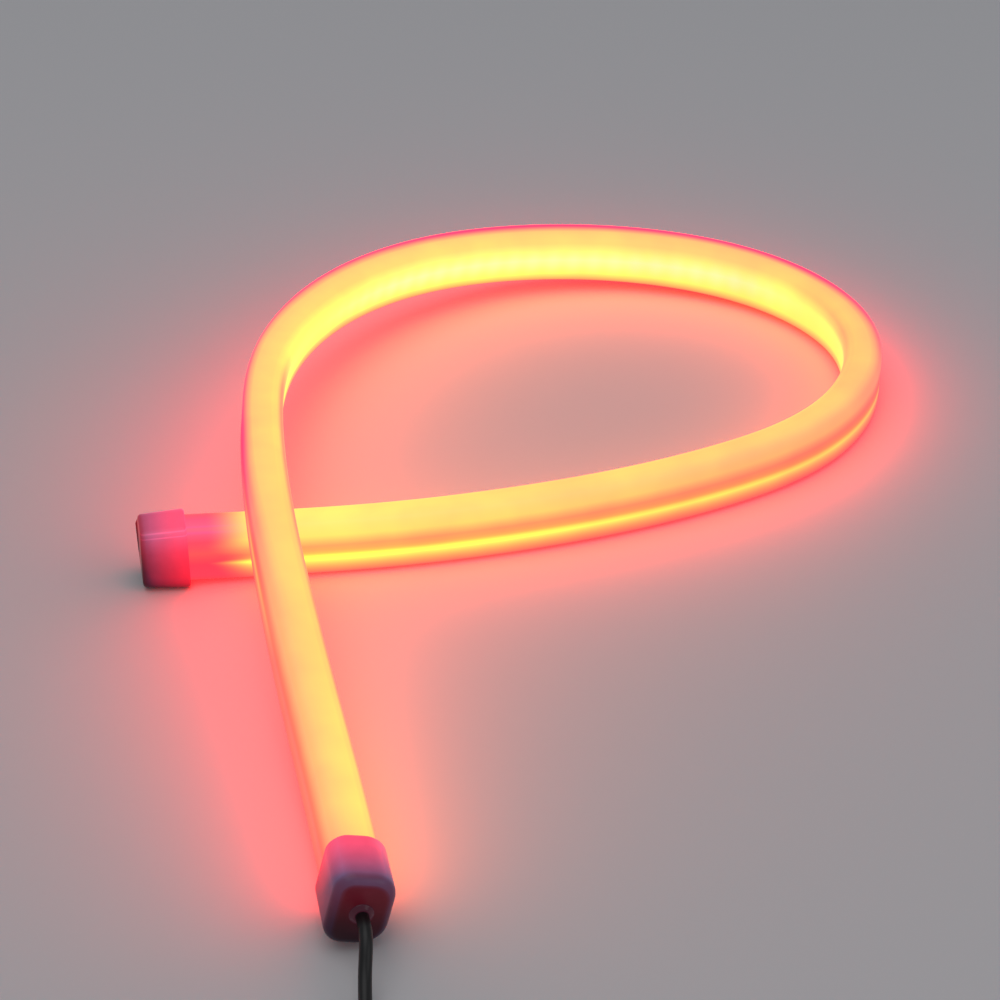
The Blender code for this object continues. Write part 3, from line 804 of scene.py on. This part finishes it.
class STRIP_OT_lead(bpy.types.Operator):
    """Make the thin black lead with its coil, its two cores and their tinned tips"""
    bl_idname = "strip.lead"
    bl_label = "Lead"

    def execute(self, context):
        settings = context.scene.strip_lead
        end_wall = context.scene.strip_caps.end_wall
        size = settings.diameter
        opened = end_frames()[1]
        face = end_wall + GAP
        # Straight out of the cap for two diameters, and then down to the floor.
        route = [opened @ Vector((x, 0.0, 0.0))
                 for x in (face - end_wall, face + GAP, face + 2 * size)]
        route += [Vector(p) * MM + LAYOUT_SHIFT for p in LEAD_ROUTE]
        run = even_points(route, LEAD_STEP)

        radius = settings.coil_radius
        outer_turn = radius + size / 2
        inner_turn = radius - size / 2
        low = size / 2
        # The top turn lies in the groove between the two below it, 60 degrees up from each.
        top = low + size * math.sin(math.radians(60.0))
        # From this far off the coil's middle the straight lead is clear of the coil's outside.
        reach = math.sqrt((radius + size + GAP) ** 2 - radius ** 2)
        centre = Vector((run[-1][0] + outer_turn, run[-1][1] - reach, 0.0))
        coil = self.coil_points(centre, (outer_turn, inner_turn, radius), (low, top, low + size))

        tail_start = centre + Vector((reach, -outer_turn, 0.0))
        tail_end = tail_start + Vector((settings.tail, 0.0, low))
        # From the coil's top the lead comes down to the floor between these two distances from
        # the coil's middle.
        high_until, down_from = 2.0 * MM, 13.0 * MM
        down = [Vector((centre.x + step, tail_end.y,
                        low + size * (1.0 - eased(step, high_until, down_from))))
                for step in np.arange(LEAD_STEP, tail_end.x - centre.x, LEAD_STEP)]
        points = [Vector(row[:3]) for row in run[:-1]]
        # The way to the coil sinks evenly to the height of the coil's first turn.
        sink = (run[-1][2] - low) / reach
        bridge = [Vector((run[-1][0], y, low + sink * (y - centre.y)))
                  for y in np.linspace(run[-1][1], centre.y, 7)[:-1]]
        points += bridge + coil + down + [tail_end]

        lead = poly_curve("lead", points, size)
        finish = pvc("extruded_black_pvc", settings.jacket_colour, settings.jacket_streaks)
        lead.data.materials.append(finish)
        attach(lead, "root")
        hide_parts("lead_run", "lead_coil", "lead_tail")

        ends = self.make_ends(settings, tail_end)
        length = sum((b - a).length for a, b in zip(points[:-1], points[1:]))
        return {"FINISHED"}

    def coil_points(self, centre, rings, heights):
        """The coil's turns: an outer one and an inner one on the floor, and one on top of them.

        The angles run on from 180 degrees, and each pair is where a change begins and ends."""
        outer_turn, inner_turn, top_turn = rings
        low, top, last = heights
        turns = 3.25
        moves_in, moves_on, moves_out = (455.0, 545.0), (800.0, 855.0), (1280.0, 1350.0)
        climbs, crosses = (765.0, 835.0), (1290.0, 1335.0)
        coil = []
        for k in range(int(turns * POINTS_PER_TURN) + 1):
            angle = 180.0 + 360.0 * k / POINTS_PER_TURN
            ring = outer_turn + (inner_turn - outer_turn) * eased(angle, *moves_in)
            ring += (top_turn - inner_turn) * eased(angle, *moves_on)
            ring += (outer_turn - top_turn) * eased(angle, *moves_out)
            height = low + (top - low) * eased(angle, *climbs)
            height += (last - top) * eased(angle, *crosses)
            turn = math.radians(angle)
            coil.append(centre + Vector((ring * math.cos(turn), ring * math.sin(turn), height)))
        return coil

    def make_ends(self, settings, tail_end):
        """Model the two cores and their twisted, tinned strands, and return them."""
        made = []
        core_finishes = {
            "a": pvc("extruded_red_pvc", settings.red_colour, settings.red_streaks),
            "b": pvc("extruded_black_core_pvc", settings.black_colour, settings.black_streaks),
        }
        tin = tinned_copper()
        for side, letter in ((1, "a"), (-1, "b")):
            sideways = side * (settings.core_diameter + GAP) / 2
            upward = (settings.core_diameter - settings.diameter) / 2
            start = tail_end + Vector((GAP, sideways, upward))
            direction = Matrix.Rotation(side * settings.spread, 4, "Z")
            frame_core = Matrix.Translation(start) @ direction
            core = self.make_core(settings, "lead_core_" + letter + "_visual")
            place(core, frame_core)
            finish_piece(core, core_finishes[letter],
                         "lead_core_" + letter)
            strands = self.make_strands(settings, "lead_tip_" + letter + "_visual")
            place(strands, frame_core @ Matrix.Translation((settings.core_length + GAP, 0.0, 0.0)))
            finish_piece(strands, tin, "lead_tip_" + letter)
            made += [core, strands]
        return made

    def make_core(self, settings, name):
        """A core along X with rounded rims. In its far end the wire sits a little deeper."""
        core = start_rod(name, 24, settings.core_diameter / 2, settings.core_length,
                         settings.core_length / 2)
        bpy.ops.object.mode_set(mode="EDIT")
        rim, insulation, wire_depth = 0.08 * MM, 0.12 * MM, 0.1 * MM
        pick("EDGE", lambda e: not runs_along_x(e))
        bpy.ops.mesh.bevel(offset=rim, segments=3, affect="EDGES")
        pick("FACE", lambda f: f.normal.x > 0.9)
        bpy.ops.mesh.inset(thickness=insulation)
        bpy.ops.transform.translate(value=(-wire_depth, 0.0, 0.0))
        bpy.ops.object.mode_set(mode="OBJECT")
        return core

    def make_strands(self, settings, name):
        """Seven twisted strands along X, run together by the solder."""
        strands, sides_each = 7, 4
        sides = strands * sides_each
        half = settings.tip_length / 2
        tip = start_rod(name, sides, settings.tip_diameter / 2, settings.tip_length, half)
        bpy.ops.object.mode_set(mode="EDIT")
        # One edge in four is pulled in, which leaves a furrow between each two strands.
        side_angle = 2 * math.pi / sides
        furrow = 0.82
        pick("EDGE", lambda e: runs_along_x(e)
             and round(math.atan2(e.verts[0].co.z, e.verts[0].co.y) / side_angle) % sides_each == 0)
        bpy.ops.transform.resize(value=(1.0, furrow, furrow), center_override=(half, 0.0, 0.0))
        pick("EDGE", runs_along_x)
        bpy.ops.mesh.subdivide(number_cuts=15)
        # The cut end is a low dome of solder.
        dome = 0.05 * MM
        pick("FACE", lambda f: f.normal.x > 0.9)
        bpy.ops.mesh.inset(thickness=dome)
        bpy.ops.transform.translate(value=(dome, 0.0, 0.0))
        bpy.ops.object.mode_set(mode="OBJECT")
        apply_modifier(tip, "SIMPLE_DEFORM", "twist", deform_method="TWIST", deform_axis="X",
                       angle=settings.strand_twist)
        return tip


class STRIP_OT_tube(bpy.types.Operator):
    """Make the glowing silicone tube, bent along its loop"""
    bl_idname = "strip.tube"
    bl_label = "Silicone tube"

    def execute(self, context):
        settings = context.scene.strip_tube
        line = tube_stations(TUBE_STEP)
        length = float(np.linalg.norm(np.diff(line[:, :3], axis=0), axis=1).sum())
        half_thick = settings.thickness / 2
        half_high = settings.height / 2
        tube = start_block("tube", (0.0, -half_thick, -half_high), (length, half_thick, half_high))
        pick("EDGE", lambda e: runs_along_x(e) and middle(e).y > 0.0)
        bpy.ops.mesh.bevel(offset=settings.front_radius, segments=8, affect="EDGES")
        pick("EDGE", lambda e: runs_along_x(e) and middle(e).y < settings.back_radius - half_thick)
        bpy.ops.mesh.bevel(offset=settings.back_radius, segments=5, affect="EDGES")
        for _ in range(2):
            pick("EDGE", runs_along_x)
            bpy.ops.mesh.subdivide(number_cuts=TUBE_CUTS)
        bpy.ops.object.mode_set(mode="OBJECT")
        keep_rest(tube)
        guide = poly_curve("guide", line, tilts=[-math.radians(row[3]) for row in line])
        apply_modifier(tube, "CURVE", "bend", object=guide, deform_axis="POS_X")
        bpy.data.objects.remove(guide, do_unlink=True)
        finish_piece(tube, lit_silicone(settings, length), "silicone_tube")
        return {"FINISHED"}


class STRIP_OT_caps(bpy.types.Operator):
    """Make the closed cap, the lead cap and the sealant round the lead, and paint the board"""
    bl_idname = "strip.caps"
    bl_label = "End caps"

    def execute(self, context):
        settings = context.scene.strip_caps
        tones = (settings.colour, settings.pale_colour)
        closed, opened = end_frames()
        face = settings.end_wall + GAP

        # Along X the closed cap's end wall is at its low side and the lead cap's at its high side.
        closed_rim = settings.closed_length - face
        end_cap = self.make_cap(context, "closed_cap", -face, closed_rim, outward=-1,
                                corners=settings.closed_corners, end_round=settings.closed_round)
        keep_rest(end_cap)
        self.slant_ends(settings, -face, closed_rim)
        place(end_cap, closed)
        finish = cap_silicone_painted_light(
            "moulded_milky_silicone_closed_painted_light", tones, -face, closed_rim, slant=0.4, painted_glint=0.18,
            red_stops=(
                (0.0, 0.20), (0.13, 0.29), (0.20, 0.47), (0.27, 0.57), (0.34, 0.63), (0.39, 0.69),
                (0.46, 0.76), (0.59, 0.86), (0.66, 0.92), (0.80, 1.0)),
            shade_stops=((0.0, 0.35), (0.03, 0.55), (0.12, 0.85), (0.25, 0.97), (0.50, 1.0)))
        finish_piece(end_cap, finish, "end_cap")

        lead_rim = face - settings.lead_length
        lead_cap = self.make_cap(context, "lead_cap_body", lead_rim, face, outward=1,
                                 corners=settings.lead_corners, end_round=settings.lead_round)
        hole = context.scene.strip_lead.diameter / 2 + GAP
        drill = start_rod("drill", 32, hole, 4 * settings.end_wall, face)
        apply_modifier(lead_cap, "BOOLEAN", "lead_hole", object=drill, operation="DIFFERENCE",
                       solver="EXACT")
        bpy.data.objects.remove(drill, do_unlink=True)
        keep_rest(lead_cap)
        place(lead_cap, opened)
        finish = cap_silicone_painted_light(
            "moulded_milky_silicone_lead_painted_light", tones, face, lead_rim, slant=0.8, painted_glint=0.0,
            red_stops=(
                (0.0, 0.06), (0.13, 0.14), (0.22, 0.22), (0.31, 0.28), (0.40, 0.31), (0.47, 0.32),
                (0.51, 0.39), (0.56, 0.52), (0.67, 0.70), (0.78, 0.86), (0.89, 0.98), (0.94, 1.0)),
            shade_stops=(
                (0.0, 0.30), (0.015, 0.62), (0.10, 0.64), (0.18, 0.87), (0.38, 0.93), (0.80, 0.97)))
        finish_piece(lead_cap, finish, "lead_cap")

        self.make_sealant(settings, opened, face)
        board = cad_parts["led_board"]
        board.data.materials.clear()
        board.data.materials.append(solder_mask())
        return {"FINISHED"}

    def make_cap(self, context, name, low, high, outward, corners, end_round):
        """A cap along X from low to high, with its end wall on the side that outward says."""
        settings = context.scene.strip_caps
        tube = context.scene.strip_tube
        half_bore = tube.thickness / 2 + GAP
        half_thick = half_bore + settings.side_wall
        half_high = tube.height / 2 + GAP + settings.wall
        end_x, rim_x = (high, low) if outward > 0 else (low, high)
        back, front = corners
        cap = start_block(name, (low, -half_thick, -half_high), (high, half_thick, half_high))
        pick("EDGE", lambda e: runs_along_x(e) and middle(e).y > 0.0)
        bpy.ops.mesh.bevel(offset=front, segments=10, affect="EDGES")
        pick("EDGE", lambda e: runs_along_x(e) and middle(e).y < TOUCH - half_thick)
        bpy.ops.mesh.bevel(offset=back, segments=8, affect="EDGES")
        pick("EDGE", lambda e: all(abs(v.co.x - end_x) < TOUCH for v in e.verts))
        bpy.ops.mesh.bevel(offset=end_round, segments=5, affect="EDGES")

        # The rim's face is inset by the thinner wall, widened at its sides and pushed in.
        pick("FACE", lambda f: f.normal.x * outward < -0.9)
        bpy.ops.mesh.inset(thickness=settings.wall)
        widen = half_bore / (half_thick - settings.wall)
        bpy.ops.transform.resize(value=(1.0, widen, 1.0), center_override=(0.0, 0.0, 0.0))
        depth = high - low - settings.end_wall
        bpy.ops.mesh.extrude_region_move(
            TRANSFORM_OT_translate={"value": (outward * depth, 0.0, 0.0)})
        pick("EDGE", lambda e: all(abs(v.co.x - rim_x) < TOUCH for v in e.verts)
             and any(abs(f.normal.x) < 0.5 for f in e.link_faces))
        bpy.ops.mesh.bevel(offset=settings.rim_round, segments=3, affect="EDGES")
        bpy.ops.mesh.select_all(action="SELECT")
        bpy.ops.mesh.normals_make_consistent(inside=False)
        bpy.ops.object.mode_set(mode="OBJECT")
        return cap

    def slant_ends(self, settings, end, rim):
        """Narrow the open cap to its end, press its upper edge down and set both ends askew."""
        end_edge = end + settings.closed_round + GAP / 2
        upper_edge = 5.2 * MM
        pressed = (0.7 * MM, 0.0, -0.45 * MM)
        taper = settings.closed_taper
        bpy.ops.object.mode_set(mode="EDIT")
        pick("VERT", lambda v: v.co.x < end_edge)
        bpy.ops.transform.resize(value=(1.0, taper, taper), center_override=(end, 0.0, 0.0))
        pick("VERT", lambda v: v.co.x < end_edge and v.co.z > upper_edge)
        bpy.ops.transform.translate(value=pressed, use_proportional_edit=True,
                                    proportional_edit_falloff="SMOOTH", proportional_size=3.0 * MM)
        pick("VERT", lambda v: v.co.x < end + settings.closed_round + 3 * GAP)
        bpy.ops.transform.rotate(value=-settings.closed_skew, orient_axis="Z",
                                 center_override=(end, 0.0, 0.0))
        bpy.ops.transform.rotate(value=settings.closed_lean, orient_axis="Y",
                                 center_override=(end, 0.0, 0.0))
        pick("VERT", lambda v: v.co.x > rim - 2 * settings.rim_round)
        bpy.ops.transform.rotate(value=-settings.rim_skew, orient_axis="Z",
                                 center_override=(rim, 0.0, 0.0))
        bpy.ops.object.mode_set(mode="OBJECT")

    def make_sealant(self, settings, opened, face):
        """A flattened ring of sealant, whose inner part is squeezed up round the lead."""
        bpy.ops.object.select_all(action="DESELECT")
        bpy.ops.mesh.primitive_torus_add(
            major_segments=48, minor_segments=20, major_radius=settings.sealant_ring,
            minor_radius=settings.sealant_bead, location=(face, 0.0, 0.0),
            rotation=(0.0, math.pi / 2, 0.0))
        bead = name_new_piece("sealant")
        flattened, squeezed = 0.65, 0.86
        inner, above, rise, falloff = 1.25 * MM, 0.1 * MM, 0.5 * MM, 0.8 * MM
        bpy.ops.object.mode_set(mode="EDIT")
        bpy.ops.mesh.select_all(action="SELECT")
        bpy.ops.transform.resize(value=(flattened, 1.0, 1.0), center_override=(face, 0.0, 0.0))
        pick("VERT", lambda v: v.co.x > face + above and math.hypot(v.co.y, v.co.z) < inner)
        bpy.ops.transform.translate(value=(rise, 0.0, 0.0), use_proportional_edit=True,
                                    proportional_edit_falloff="SMOOTH", proportional_size=falloff)
        bpy.ops.transform.resize(value=(1.0, squeezed, squeezed), center_override=(face, 0.0, 0.0))
        bpy.ops.object.mode_set(mode="OBJECT")
        place(bead, opened)
        finish_piece(bead, clear_sealant_painted_glow(), "sealant_bead", angle=60.0)


class VIEW3D_PT_strip_light(bpy.types.Panel):
    """Panel that lists the strip light's pieces and sizes"""
    bl_label = "LED Strip Light"
    bl_space_type = "VIEW_3D"
    bl_region_type = "UI"
    bl_category = "LED Strip"

    def draw(self, context):
        groups = (
            (context.scene.strip_stage, "strip.stage"), (context.scene.strip_lead, "strip.lead"),
            (context.scene.strip_tube, "strip.tube"), (context.scene.strip_caps, "strip.caps"))
        for settings, operator in groups:
            box = self.layout.box()
            for key in settings.__annotations__:
                box.prop(settings, key)
            box.operator(operator)


CLASSES = (TubeSettings, CapSettings, LeadSettings, StageSettings, STRIP_OT_stage, STRIP_OT_lead,
           STRIP_OT_tube, STRIP_OT_caps, VIEW3D_PT_strip_light)
SETTINGS = {"strip_tube": TubeSettings, "strip_caps": CapSettings, "strip_lead": LeadSettings,
            "strip_stage": StageSettings}


def register():
    """Make the settings, the operators and the panel known."""
    for item in CLASSES:
        bpy.utils.register_class(item)
    for name, item in SETTINGS.items():
        setattr(bpy.types.Scene, name, bpy.props.PointerProperty(type=item))


def unregister():
    """Take them out again."""
    for name in SETTINGS:
        delattr(bpy.types.Scene, name)
    for item in reversed(CLASSES):
        bpy.utils.unregister_class(item)


def main():
    """Build everything in order."""
    register()
    bpy.ops.strip.stage()
    bpy.ops.strip.lead()
    bpy.ops.strip.tube()
    bpy.ops.strip.caps()


if __name__ == "__main__":
    main()
